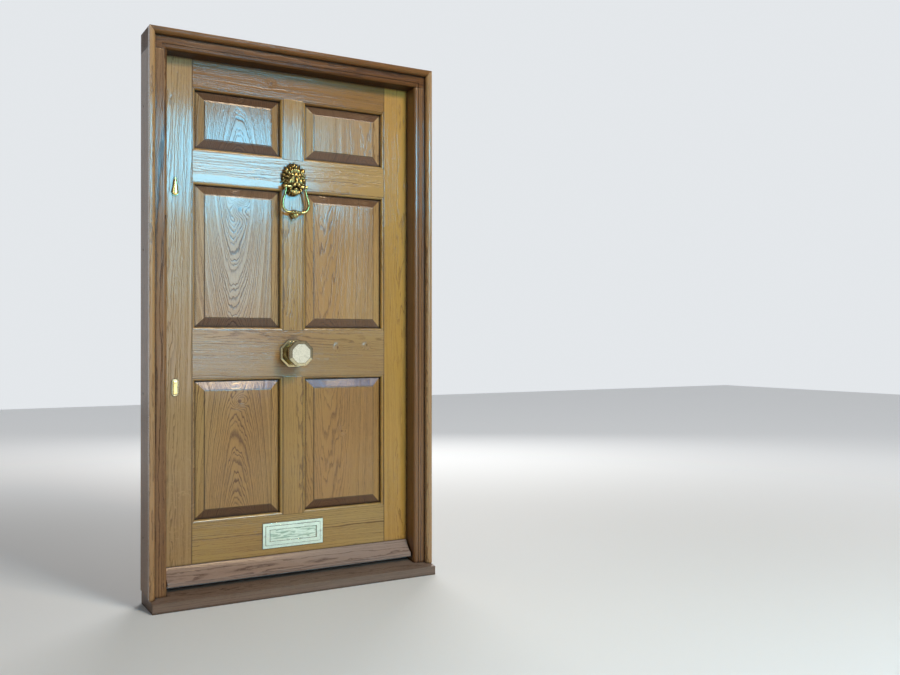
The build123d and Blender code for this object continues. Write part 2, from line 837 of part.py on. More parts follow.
# Pins that the covers swing on
with BuildPart() as cover_pins:
    for name in keys:
        rod(key_x, pivots[name], cover_pin_r, cover_face - cover_play, leaf_front)
        rod(key_x, pivots[name], cover_pin_head_r, cover_face - cover_play - 1.5, cover_face - cover_play)
save(cover_pins, "cover_pins")

# Plain keyhole plates on the inside of the leaf
with BuildPart() as inner_escutcheons:
    for key_z in keys.values():
        with BuildSketch(Plane.XZ.offset(-leaf_back)):
            with Locations((key_x, key_z)):
                SlotOverall(oblong_cover_height, oblong_width, rotation=90)
        extrude(amount=-escutcheon_thickness)
        faces = (leaf_back, leaf_back + escutcheon_thickness)
        rod(key_x, key_z, key_r, *faces, Mode.SUBTRACT)
        block(key_x - key_slot / 2, key_x + key_slot / 2, *faces, key_z - key_drop, key_z, Mode.SUBTRACT)
save(inner_escutcheons, "inner_escutcheons")


def octagon(y, across):
    """An upright octagon about the knob's centre, in the plane at depth y."""
    with BuildSketch(Plane.XZ.offset(-y)) as shape:
        with Locations((0, knob_z)):
            RegularPolygon(across / 2, 8, major_radius=False, rotation=22.5)
    return shape.sketch


# Rose of the centre knob
rose_face = leaf_front - rose_thickness
with BuildPart() as knob_rose:
    extrude(octagon(leaf_front, rose_across), amount=rose_thickness / 2)
    loft([octagon(leaf_front - rose_thickness / 2, rose_across).face(),
          octagon(rose_face, rose_across - 2 * rose_bevel).face()])
    rod(0, knob_z, spindle_r + spindle_fit, rose_face, leaf_front, Mode.SUBTRACT)
save(knob_rose, "knob_rose")

# Centre knob: a turned neck and an octagonal head with a bevelled front
knob_front = leaf_front - knob_stand
head_back = knob_front + knob_body
shoulder = knob_front + knob_bevel_depth
with BuildPart() as knob:
    loft([octagon(head_back, knob_across - 2 * knob_back_bevel).face(),
          octagon((head_back + shoulder) / 2, knob_across).face()])
    extrude(octagon((head_back + shoulder) / 2, knob_across), amount=(head_back - shoulder) / 2)
    loft([octagon(shoulder, knob_across).face(),
          octagon(knob_front, knob_across - 2 * knob_bevel).face()])
    with BuildSketch(Plane.YZ):
        with BuildLine():
            Line((head_back, knob_z), (head_back, knob_z + neck_foot_r))
            Bezier((head_back, knob_z + neck_foot_r), (head_back + 12, knob_z + neck_r - 3),
                   (rose_face - 20, knob_z + neck_r - 5), (rose_face, knob_z + neck_foot_r))
            Polyline((rose_face, knob_z + neck_foot_r), (rose_face, knob_z), (head_back, knob_z))
        make_face()
    revolve(axis=Axis((0, 0, knob_z), (0, 1, 0)))
    rod(0, knob_z, spindle_r, rose_face - spindle_bite, rose_face, Mode.SUBTRACT)
save(knob, "knob")

# Bolt that draws the knob to the door, and its nut and washer inside
spindle_end = leaf_back + washer_thickness + nut_thickness + 4
with BuildPart() as knob_bolt:
    rod(0, knob_z, spindle_r, rose_face - spindle_bite, spindle_end)
save(knob_bolt, "knob_bolt")

with BuildPart() as knob_nut:
    rod(0, knob_z, washer_r, leaf_back, leaf_back + washer_thickness)
    with BuildSketch(Plane.XZ.offset(-leaf_back - washer_thickness)):
        with Locations((0, knob_z)):
            RegularPolygon(nut_across / 2, 6, major_radius=False)
    extrude(amount=-nut_thickness)
    rod(0, knob_z, spindle_r, leaf_back, leaf_back + washer_thickness + nut_thickness, Mode.SUBTRACT)
save(knob_nut, "knob_nut")

# Letter plate over the slot in the bottom rail
plate_face = leaf_front - letter_thickness
half_aperture = aperture_height / 2
rod_y = leaf_front + flap_rod_back
rod_z = letter_z + half_aperture + 2
with BuildPart() as letter_plate:
    block(-letter_width / 2, letter_width / 2, plate_face + letter_rim_step, leaf_front,
          letter_z - letter_height / 2, letter_z + letter_height / 2)
    block(letter_rim - letter_width / 2, letter_width / 2 - letter_rim, plate_face,
          plate_face + letter_rim_step, letter_z - letter_height / 2 + letter_rim,
          letter_z + letter_height / 2 - letter_rim)
    block(-aperture_width / 2, aperture_width / 2, plate_face, leaf_front, letter_z - half_aperture,
          letter_z + half_aperture, Mode.SUBTRACT)
    lug_x = aperture_width / 2 + 2
    for side in (-1, 1):
        x0, x1 = sorted((side * lug_x, side * (lug_x + 4)))
        block(x0, x1, leaf_front, rod_y + flap_eye_r, rod_z - flap_eye_r, rod_z + flap_eye_r)
    with Locations(Location((0, rod_y, rod_z), (0, 90, 0))):
        Cylinder(flap_rod_r, letter_width, mode=Mode.SUBTRACT)
    for side in (-1, 1):
        rod(side * letter_bolt_x, letter_z, letter_bolt_r, plate_face, leaf_front, Mode.SUBTRACT)
save(letter_plate, "letter_plate")

with BuildPart() as flap_rod:
    with Locations(Location((0, rod_y, rod_z), (0, 90, 0))):
        Cylinder(flap_rod_r, 2 * (lug_x + 4))
save(flap_rod, "flap_rod")

# Flap, which pushes inwards on eyes round the rod
half_flap = aperture_width / 2 - flap_end_gap
flap_face = plate_face + flap_setback
flap_bottom = letter_z - half_aperture + flap_gap
flap_top = letter_z + half_aperture - flap_gap
eye_xs = [side * (half_flap - flap_eye_length / 2) for side in (-1, 1)]
with BuildPart() as letter_flap:
    block(-half_flap, half_flap, flap_face, flap_face + flap_thickness, flap_bottom, flap_top)
    for eye_x in eye_xs:
        x0, x1 = eye_x - flap_eye_length / 2, eye_x + flap_eye_length / 2
        block(x0, x1, flap_face, rod_y, rod_z - flap_eye_r - 2, flap_top)
        with Locations(Location((eye_x, rod_y, rod_z), (0, 90, 0))):
            Cylinder(flap_eye_r, flap_eye_length)
        block(x0, x1, plate_face, leaf_front + flap_rod_fit, flap_top, rod_z + 2 * flap_eye_r,
              Mode.SUBTRACT)
    with Locations(Location((0, rod_y, rod_z), (0, 90, 0))):
        Cylinder(flap_rod_r + flap_rod_fit, letter_width, mode=Mode.SUBTRACT)
save(letter_flap, "letter_flap")

# Spring coiled on the rod between the eyes
with BuildPart() as flap_spring:
    with Locations(Location((0, rod_y, rod_z), (0, 90, 0))):
        Cylinder(spring_r, spring_length)
        Cylinder(flap_rod_r + flap_rod_fit, spring_length, mode=Mode.SUBTRACT)
save(flap_spring, "flap_spring")

# Plate round the slot on the inside
inner_face = leaf_back + inner_plate_thickness
with BuildPart() as inner_letter_plate:
    block(-letter_width / 2, letter_width / 2, leaf_back, inner_face, letter_z - letter_height / 2,
          letter_z + letter_height / 2)
    block(-slot_width / 2, slot_width / 2, leaf_back, inner_face, letter_z - slot_height / 2,
          letter_z + slot_height / 2, Mode.SUBTRACT)
    for side in (-1, 1):
        rod(side * letter_bolt_x, letter_z, letter_bolt_r, leaf_back, inner_face, Mode.SUBTRACT)
save(inner_letter_plate, "inner_letter_plate")

# Bolts of the letter plate, riveted flush in its face
with BuildPart() as letter_bolts:
    for side in (-1, 1):
        rod(side * letter_bolt_x, letter_z, letter_bolt_r, plate_face, inner_face + through_nut_thickness)
save(letter_bolts, "letter_bolts")


# Lion's head of the knocker, cast in one: a mane of ridged, tapered locks about a rounded face
mask_plane = Plane((0, leaf_front, mask_z), x_dir=(1, 0, 0), z_dir=(0, -1, 0))
half_wide, half_high = mask_width / 2, mask_height / 2
boss_end = ring_pivot_x - ring_wire_r - cover_play


def lay_locks(count, start, root, tip, root_out, tip_out, radius):
    """A ring of ridged locks round the face; root and tip are shares of the half width and height."""
    locks = []
    for number in range(count):
        turn = radians(start + 360 * number / count)
        across, up = half_wide * cos(turn), half_high * sin(turn)
        foot = Vector(root * across, leaf_front - root_out, mask_z + root * up)
        end = Vector(tip * across, leaf_front - tip_out, mask_z + tip * up)
        run = end - foot
        sections = []
        for place, size in ((foot, radius), (end, 1)):
            across_lock = Plane(place, x_dir=run.cross(Vector(0, 1, 0)), z_dir=run)
            with BuildSketch(across_lock, mode=Mode.PRIVATE) as section:
                RegularPolygon(size, 4)
            sections.append(section.sketch.face())
        locks.append(loft(sections, mode=Mode.PRIVATE))
    return locks


def lump(x, y, z, radius):
    """A rounded boss of the casting, with its seam on top, clear of what joins its sides."""
    with Locations((x, y, z)):
        Sphere(radius, rotation=(0, 0, 90))


with BuildPart(mask_plane) as lion_face:
    with BuildSketch(mask_plane):
        Ellipse(half_wide * 0.8, half_high * 0.8)
    extrude(amount=mask_back)
    lump(0, 6, 4, skull_r)
    for side in (-1, 1):
        lump(side * 12, 21, 28, 9)
        lump(side * 20, -8, 25, 13)
        lump(side * 9, -19, 36, 12)
        lump(side * 31, 33, 14, 9)
        with Locations(Location((side * (boss_end - peg_bite), -ring_pivot_drop, ring_out), (0, 90, 0))):
            Cylinder(boss_r, 2 * peg_bite)
    lump(0, -36, 28, 11)
    lump(0, -11, 44, 8)
    nose = Vector(0, -10, 42) - Vector(0, 24, 30)
    with Locations(Plane((0, 24, 30), z_dir=nose)):
        Cone(9, 7, nose.length, align=(Align.CENTER, Align.CENTER, Align.MIN))

with BuildPart() as lion_mask:
    mane = lay_locks(outer_locks, 9, 0.6, 0.99, 9, 2.5, lock_r)
    mane += lay_locks(middle_locks, 2, 0.5, 0.88, 16, 9, lock_r)
    mane += lay_locks(inner_locks, 11, 0.4, 0.76, 23, 16, lock_r)
    add([lion_face.part, *mane])
    with Locations((0, leaf_front + half_high, mask_z)):
        Box(2 * mask_width, 2 * half_high, 2 * mask_height, mode=Mode.SUBTRACT)
    for side in (-1, 1):
        peg_end = (side * boss_end, leaf_front - ring_out, mask_z - ring_pivot_drop)
        with Locations(Location(peg_end, (0, 90, 0))):
            Cylinder(peg_r + peg_fit, 2 * peg_bite + 1, mode=Mode.SUBTRACT)
        rod(side * knocker_bolt_x, mask_z, knocker_bolt_r, leaf_front - mask_back, leaf_front,
            Mode.SUBTRACT)
save(lion_mask, "lion_mask")

# Ring of the knocker: a horseshoe, hung by its pegs from the corners of the mouth
foot_y = -ring_pivot_drop - ring_drop
ring_plane = mask_plane.offset(ring_out)
peg_length = ring_pivot_x - boss_end + peg_bite
with BuildPart(ring_plane) as ring_ornaments:
    for side in (-1, 1):
        with Locations(Location((side * ring_pivot_x, -ring_pivot_drop, 0), (0, 90, 0))):
            Cylinder(eyelet_r, 2 * ring_wire_r)
        peg_middle = side * (ring_pivot_x - peg_length / 2)
        with Locations(Location((peg_middle, -ring_pivot_drop, 0), (0, 90, 0))):
            Cylinder(peg_r, peg_length)
        lump(side * (finial_r + scroll_r / 2), foot_y, 0, scroll_r)
    lump(0, foot_y, 0, finial_r)
    with Locations(Location((0, foot_y, 0), (90, 0, 0))):
        Cone(finial_r * 0.9, 1, finial_length, align=(Align.CENTER, Align.CENTER, Align.MIN))
    lump(0, foot_y - finial_length + finial_tip_r, 0, finial_tip_r)

half_ring = [
    (ring_pivot_x, -ring_pivot_drop),
    (ring_pivot_x + 1, -ring_pivot_drop - ring_arm_drop),
    (ring_half, -ring_pivot_drop - ring_shoulder_drop),
    (ring_half, -ring_pivot_drop - ring_belly_drop),
    (ring_foot_half, foot_y),
]
with BuildPart() as knocker_ring:
    with BuildLine(ring_plane) as ring_path:
        FilletPolyline(*[(-x, y) for x, y in half_ring], *reversed(half_ring), radius=ring_corner)
    with BuildSketch(Plane(ring_path.line @ 0, z_dir=ring_path.line % 0)):
        Circle(ring_wire_r)
    sweep()
    add(ring_ornaments.part)
save(knocker_ring, "knocker_ring")

# Strike that the ring's foot falls on: a rounded boss on a leaf-shaped plate
with BuildPart(mask_plane) as knocker_strike:
    with BuildSketch(mask_plane):
        with Locations((0, foot_y)):
            Circle(strike_plate_r)
        with Locations((0, foot_y - strike_plate_drop)):
            Circle(strike_tip_r)
        make_hull()
    extrude(amount=strike_plate)
    chamfer(knocker_strike.faces().sort_by(Axis.Y)[0].edges(), strike_plate / 2)
    strike_out = ring_out - finial_r - strike_gap
    with Locations((0, foot_y, strike_out / 2)):
        Cylinder(strike_r, strike_out)
    fillet(knocker_strike.faces().sort_by(Axis.Y)[0].edges(), 2)
save(knocker_strike, "knocker_strike")

# Bolts that hold the lion's head, and the nuts of all the through bolts inside
with BuildPart() as knocker_bolts:
    for side in (-1, 1):
        rod(side * knocker_bolt_x, mask_z, knocker_bolt_r, leaf_front - mask_back,
            leaf_back + through_nut_thickness)
save(knocker_bolts, "knocker_bolts")

with BuildPart() as through_nuts:
    for x, z, seat in ((knocker_bolt_x, mask_z, leaf_back), (letter_bolt_x, letter_z, inner_face)):
        for side in (-1, 1):
            with BuildSketch(Plane.XZ.offset(-seat)):
                with Locations((side * x, z)):
                    RegularPolygon(through_nut_across / 2, 6, major_radius=False)
            extrude(amount=-through_nut_thickness)
            rod(side * x, z, knocker_bolt_r, seat, seat + through_nut_thickness, Mode.SUBTRACT)
save(through_nuts, "through_nuts")
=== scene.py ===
import math

import bmesh
import bpy
from mathutils import Matrix, Vector


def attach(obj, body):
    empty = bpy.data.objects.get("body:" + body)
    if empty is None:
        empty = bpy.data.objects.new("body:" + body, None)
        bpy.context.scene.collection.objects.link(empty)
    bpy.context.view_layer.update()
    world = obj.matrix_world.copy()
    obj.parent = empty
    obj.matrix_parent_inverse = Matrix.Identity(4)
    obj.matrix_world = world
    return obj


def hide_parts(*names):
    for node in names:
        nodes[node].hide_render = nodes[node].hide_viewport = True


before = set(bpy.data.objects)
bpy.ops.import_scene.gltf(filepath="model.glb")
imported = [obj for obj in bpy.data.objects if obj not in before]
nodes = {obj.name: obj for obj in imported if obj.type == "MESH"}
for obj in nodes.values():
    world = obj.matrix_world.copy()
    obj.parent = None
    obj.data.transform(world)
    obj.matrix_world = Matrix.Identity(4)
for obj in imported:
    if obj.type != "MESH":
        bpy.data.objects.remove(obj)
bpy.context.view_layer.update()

# The door frame: two jambs and a head of planed oak, with a small moulding run off the inner arris.
# The jambs are stub-tenoned into the head, which runs over them, and the whole is stained and varnished.
# Oak shows growth rings, open pores along the grain and, where it is quarter-sawn, pale ray flecks.


def add_node(tree, kind, inputs, **settings):
    """Adds a shader node. Each input, by place or by name, is a value or a socket to link."""
    made = tree.nodes.new("ShaderNode" + kind)
    for key, value in settings.items():
        setattr(made, key, value)
    for key, value in inputs.items() if isinstance(inputs, dict) else enumerate(inputs):
        if isinstance(value, bpy.types.NodeSocket):
            tree.links.new(value, made.inputs[key])
        else:
            made.inputs[key].default_value = value
    return made


def sum_up(tree, operation, *inputs, clamp=False):
    """One step of arithmetic on one, two or three numbers."""
    return add_node(tree, "Math", inputs, operation=operation, use_clamp=clamp).outputs[0]


def plus(tree, base, value, share, clamp=False):
    """A base with a share of a value on top."""
    return sum_up(tree, "MULTIPLY_ADD", value, share, base, clamp=clamp)


def centred(tree, value):
    """Noise, which lies about a half, brought to lie about nought."""
    return sum_up(tree, "SUBTRACT", value, 0.5)


def spread(tree, value, low, high, to_low=0.0, to_high=1.0):
    """A value between low and high, eased and brought to another range."""
    inputs = {"Value": value, "From Min": low, "From Max": high, "To Min": to_low, "To Max": to_high}
    return add_node(tree, "MapRange", inputs, interpolation_type="SMOOTHSTEP").outputs[0]


def mix(tree, share, first, second, blend="MIX"):
    """Two colours, mixed."""
    inputs = {"Factor": share, "A": first, "B": second}
    made = tree.nodes.new("ShaderNodeMix")
    made.data_type, made.blend_type = "RGBA", blend
    for socket in made.inputs:
        if socket.name in inputs and socket.enabled:
            value = inputs[socket.name]
            if isinstance(value, bpy.types.NodeSocket):
                tree.links.new(value, socket)
            else:
                socket.default_value = value
    return next(socket for socket in made.outputs if socket.enabled)


def noise(tree, place, stretch, scale, detail=2.0, roughness=0.5, twist=0.0):
    """Noise whose patches are stretched: stretch holds a factor for each direction."""
    drawn = add_node(tree, "VectorMath", [place, stretch], operation="MULTIPLY").outputs[0]
    inputs = {
        "Vector": drawn, "Scale": scale, "Detail": detail, "Roughness": roughness, "Distortion": twist
    }
    return add_node(tree, "TexNoise", inputs, noise_dimensions="3D").outputs[0]


def drift(tree, value, pace):
    """Slow noise along one number, which it follows at a pace."""
    inputs = {"W": sum_up(tree, "MULTIPLY", value, pace), "Scale": 1.0, "Detail": 1.0}
    return add_node(tree, "TexNoise", inputs, noise_dimensions="1D").outputs[0]


oak_figure = bpy.data.node_groups.new("oak_figure", "ShaderNodeTree")
for way, kind, names in (
    ("INPUT", "Vector", ("Pith", "Lie", "Knot", "Second knot", "Middle", "Half size")),
    ("INPUT", "Float", ("Ring", "Wobble", "Fleck", "Knot size", "Painted rim shade", "Contrast")),
    ("INPUT", "Color", ("Light", "Dark", "Red")),
    ("OUTPUT", "Color", ("Colour",)),
    ("OUTPUT", "Float", ("Roughness", "Height", "Varnish")),
):
    for name in names:
        oak_figure.interface.new_socket(name, in_out=way, socket_type="NodeSocket" + kind)

tree = oak_figure
given = tree.nodes.new("NodeGroupInput").outputs
place = add_node(tree, "TexCoord", []).outputs["Object"]
log = {"Vector": place, "Location": given["Pith"], "Rotation": given["Lie"]}
grain = add_node(tree, "Mapping", log, vector_type="TEXTURE").outputs[0]
across, through, _ = add_node(tree, "SeparateXYZ", [grain]).outputs

# Growth rings about the heart line of the log, drawn aside where a knot comes near.
knots = []
for key in ("Knot", "Second knot"):
    away = add_node(tree, "VectorMath", [place, given[key]], operation="DISTANCE").outputs["Value"]
    knots.append(sum_up(tree, "DIVIDE", away, given["Knot size"]))
nearest = sum_up(tree, "MINIMUM", *knots)
swirl = spread(tree, nearest, 0.0, 3.2, 1.0, 0.0)
heart = spread(tree, nearest, 0.25, 0.75, 1.0, 0.0)

quick_sway, jag_size, knot_years = 0.35, 0.0014, 5.0
uneven_pace, uneven_years, vigour_pace = 90.0, 2.6, 0.31
slow = noise(tree, grain, (1, 1, 0.1), 8.0, 1.0)
quick = noise(tree, grain, (1, 1, 0.16), 42.0, 2.0, 0.6)
jag = noise(tree, grain, (1, 1, 0.45), 150.0, 2.0, 0.6)
sway = plus(tree, centred(tree, slow), centred(tree, quick), quick_sway)
radius = sum_up(tree, "MULTIPLY_ADD", across, across, sum_up(tree, "MULTIPLY", through, through))
radius = sum_up(tree, "SQRT", radius)
radius = plus(tree, radius, sway, given["Wobble"])
radius = plus(tree, radius, centred(tree, jag), jag_size)
years = sum_up(tree, "DIVIDE", radius, given["Ring"])
years = plus(tree, years, drift(tree, radius, uneven_pace), uneven_years)
years = plus(tree, years, swirl, knot_years)
season = sum_up(tree, "FRACT", years)
spring = spread(tree, season, 0.0, 0.42, 1.0, 0.0)
early = sum_up(tree, "MAXIMUM", spring, spread(tree, season, 0.88, 1.0))
vigour = drift(tree, years, vigour_pace)
early = sum_up(tree, "MULTIPLY", early, spread(tree, vigour, 0.3, 0.7, 0.45, 1.0))

# Pores, fibres, patches of deeper stain and ray flecks, all drawn out along the grain.
pores = spread(tree, noise(tree, grain, (1, 1, 0.045), 1300.0, 1.0), 0.52, 0.66)
pores = sum_up(tree, "MULTIPLY", pores, sum_up(tree, "MULTIPLY_ADD", early, 0.75, 0.3))
fibre = noise(tree, grain, (1, 1, 0.02), 300.0, 3.0, 0.6)
patch = noise(tree, grain, (1, 1, 0.22), 7.0, 2.0, 0.5)
hue = noise(tree, grain, (1, 1, 0.3), 3.6, 1.0)
rays = noise(tree, grain, (1, 1, 1.9), 62.0, 2.0, 0.5, 0.8)
rays = sum_up(tree, "MULTIPLY", spread(tree, rays, 0.6, 0.68), spread(tree, hue, 0.44, 0.6))
rays = sum_up(tree, "MULTIPLY", rays, given["Fleck"])

pore_share, stain_share = 0.5, 0.9
figure = plus(tree, sum_up(tree, "MULTIPLY", early, given["Contrast"]), pores, pore_share)
for stain in (centred(tree, fibre), centred(tree, patch), heart):
    figure = plus(tree, figure, stain, stain_share)
figure = sum_up(tree, "SUBTRACT", figure, rays, clamp=True)
colour = mix(tree, figure, given["Light"], given["Dark"])
colour = mix(tree, spread(tree, hue, 0.42, 0.66, 0.0, 0.5), colour, given["Red"], "MULTIPLY")

# Painted shade in every quirk and recess, and dirt along the edge of what a piece shows between its
# joints or inside its bevels. Past that edge the wood is painted darker above and below by the rim, as
# shade, and a little paler at the sides, as painted light.
painted_side_light, painted_rim_outer, painted_rim_inner = 1.12, -0.004, 0.001
seam_core, seam_end, painted_shade_reach = 0.0006, 0.0026, 0.012
seam_dirt, dirt_and_shade_share, dirt_and_shade_colour = 0.75, 0.9, (0.022, 0.009, 0.003, 1)
edge = add_node(tree, "VectorMath", [place, given["Middle"]], operation="SUBTRACT").outputs[0]
edge = add_node(tree, "VectorMath", [edge], operation="ABSOLUTE").outputs[0]
edge = add_node(tree, "VectorMath", [given["Half size"], edge], operation="SUBTRACT").outputs[0]
inner_x, _, inner_z = add_node(tree, "SeparateXYZ", [edge]).outputs
inner = sum_up(tree, "MINIMUM", inner_x, inner_z)
# Painted light past the seams: darker above and below, as shade, and paler at the sides, as light.
painted_rim_light = spread(tree, sum_up(tree, "LESS_THAN", inner_z, inner_x), 0.0, 1.0, painted_side_light, given["Painted rim shade"])
painted_rim_light = spread(tree, inner, painted_rim_outer, painted_rim_inner, painted_rim_light, 1.0)
seam = spread(tree, sum_up(tree, "ABSOLUTE", inner), seam_core, seam_end, 1.0, 0.0)
# Painted shade: where ambient occlusion finds a quirk or recess close by, the wood is darkened towards
# the dark colour below.
open_air = add_node(tree, "AmbientOcclusion", {"Distance": painted_shade_reach}, samples=6).outputs["AO"]
quirk_shade_and_seam_dirt = spread(tree, open_air, 0.50, 0.94, 1.0, 0.0)
quirk_shade_and_seam_dirt = sum_up(tree, "MAXIMUM", quirk_shade_and_seam_dirt, sum_up(tree, "MULTIPLY", seam, seam_dirt))
painted_rim_factors = [painted_rim_light, sum_up(tree, "POWER", painted_rim_light, 1.25), sum_up(tree, "POWER", painted_rim_light, 1.3)]
colour = mix(tree, 1.0, colour, add_node(tree, "CombineColor", painted_rim_factors).outputs[0], "MULTIPLY")
colour = mix(tree, sum_up(tree, "MULTIPLY", quirk_shade_and_seam_dirt, dirt_and_shade_share), colour, dirt_and_shade_colour)

# The bare wood's relief, and the gentler one of the varnish, which has flowed over it.
rough = sum_up(tree, "MULTIPLY_ADD", pores, 0.2, 0.52)
rough = plus(tree, rough, centred(tree, patch), 0.25)
height = plus(tree, sum_up(tree, "MULTIPLY", early, -0.4), pores, -0.55)
height = plus(tree, height, fibre, 0.35)
height = plus(tree, height, seam, -0.8)
planed = noise(tree, grain, (1, 1, 0.10), 34.0, 1.0)
varnish = plus(tree, sum_up(tree, "MULTIPLY", early, -0.55), pores, -0.12)
varnish = plus(tree, varnish, planed, 1.6)
varnish = plus(tree, varnish, seam, -0.8)
last = tree.nodes.new("NodeGroupOutput").inputs
for socket, value in zip(last, (colour, rough, height, varnish)):
    tree.links.new(value, socket)

upright, level = (0.0, 0.0, 0.0), (0.0, math.pi / 2, 0.0)
no_knot, endless = (0.0, -9.0, 0.0), 9.0
red_stain = (1.0, 0.84, 0.70, 1)
oak_arris, oak_relief, oak_strength = 0.0012, 0.0005, 0.8
bare_gloss, varnish_roughness = 0.1, 0.12


def oak(name, light, dark, pith, lie=upright, lean=(0.0, 0.0), ring=0.0042, wobble=0.03, fleck=0.0,
        knots=(), knot_size=0.012, contrast=0.75, seams=None, painted_rim_light=1.0, shine=1.0):
    """Varnished oak. The pith is a point on the heart line of the log that the piece was sawn from, and
    seams are the middle and the half size of what it shows between its joints or inside its bevels.
    Past the seams the wood is painted darker above and below by a factor, as shade, and paler at the
    sides."""
    material = bpy.data.materials.new(name)
    material.use_nodes = True
    tree = material.node_tree
    shader = tree.nodes["Principled BSDF"]
    middle, half = seams or ((0.0, 0.0, 0.0), (endless, endless, endless))
    knots = (*knots, no_knot, no_knot)
    inputs = {
        "Pith": pith, "Lie": (lie[0] + lean[0], lie[1] + lean[1], lie[2]), "Ring": ring,
        "Wobble": wobble, "Fleck": fleck, "Knot": knots[0], "Second knot": knots[1],
        "Knot size": knot_size, "Middle": middle, "Half size": half, "Painted rim shade": painted_rim_light, "Contrast": contrast,
        "Light": (*light, 1), "Dark": (*dark, 1), "Red": red_stain,
    }
    made = tree.nodes.new("ShaderNodeGroup")
    made.node_tree = oak_figure
    for key, value in inputs.items():
        made.inputs[key].default_value = value
    tree.links.new(made.outputs["Colour"], shader.inputs["Base Color"])
    tree.links.new(made.outputs["Roughness"], shader.inputs["Roughness"])
    soft = add_node(tree, "Bevel", {"Radius": oak_arris}, samples=4).outputs[0]
    for relief, normal in (("Height", "Normal"), ("Varnish", "Coat Normal")):
        inputs = {
            "Strength": oak_strength, "Distance": oak_relief, "Height": made.outputs[relief],
            "Normal": soft,
        }
        tree.links.new(add_node(tree, "Bump", inputs).outputs[0], shader.inputs[normal])
    shader.inputs["Specular IOR Level"].default_value = bare_gloss
    shader.inputs["Coat Weight"].default_value = shine
    shader.inputs["Coat Roughness"].default_value = varnish_roughness
    return material


def dress(node, material):
    """Gives a CAD piece its finish."""
    slots = nodes[node].data.materials
    slots.clear()
    slots.append(material)


frame_dark = (0.050, 0.019, 0.005)
head_seam = ((0.0, 0.0, 2.0565), (endless, endless, 0.0355))
dress("left_jamb", oak("left_jamb_oak", (0.22, 0.115, 0.048), frame_dark, (-0.62, 0.16, 0),
                       lean=(0.006, 0.004), fleck=0.25, seams=head_seam, shine=0.5))
dress("right_jamb", oak("right_jamb_oak", (0.185, 0.084, 0.026), frame_dark, (0.66, -0.12, 0),
                        lean=(-0.004, 0.008), seams=head_seam))
# The head's colours are darker than the jambs': painted shade, as if the head stood in shadow.
dress("head", oak("head_oak", (0.115, 0.045, 0.010), (0.032, 0.011, 0.003), (0, 0.22, 2.12), level,
                  (0.0, 0.004), seams=head_seam, shine=0.12))

# The cover moulding: three lengths of oak with an ovolo face, planted on the frame's outer edge and
# mitred at the top corners. The upright lengths are paler than the frame, where the sun has bleached
# the stain. The head length is darker, with painted shade.

cover_light, cover_dark, cover_ring = (0.33, 0.19, 0.078), (0.12, 0.055, 0.018), 0.0035
dress("left_moulding", oak("left_moulding_oak", cover_light, cover_dark, (-0.60, 0.10, 0),
                           ring=cover_ring))
dress("right_moulding", oak("right_moulding_oak", cover_light, cover_dark, (0.64, 0.05, 0),
                            ring=cover_ring))
# Painted shade: the head length's colours are darker than the uprights'.
dress("head_moulding", oak("head_moulding_oak", (0.16, 0.068, 0.018), cover_dark, (0, 0.12, 2.12), level,
                           ring=cover_ring, shine=0.15))

# The sill: one heavy length of oak, weathered on top and throated under its nose, with a galvanised
# water bar let in behind the leaf's foot. Rain and feet have greyed its top. Its colour is dark and
# blue-grey all over, partly that weathering and partly painted shade and painted sky reflection.

dress("sill", oak("sill_oak", (0.175, 0.122, 0.092), (0.060, 0.038, 0.028), (0, 0.02, -0.10), level,
                  (0.0, 0.006), fleck=0.2, contrast=0.8, shine=0.2))

cloud_share, streak_scale, painted_arris_shade_share, painted_shade_share, painted_shade_fade = 0.14, 150.0, 0.9, 0.55, 0.002
metal_arris, wipe_strength, wipe_relief = 0.0006, 0.12, 0.0002


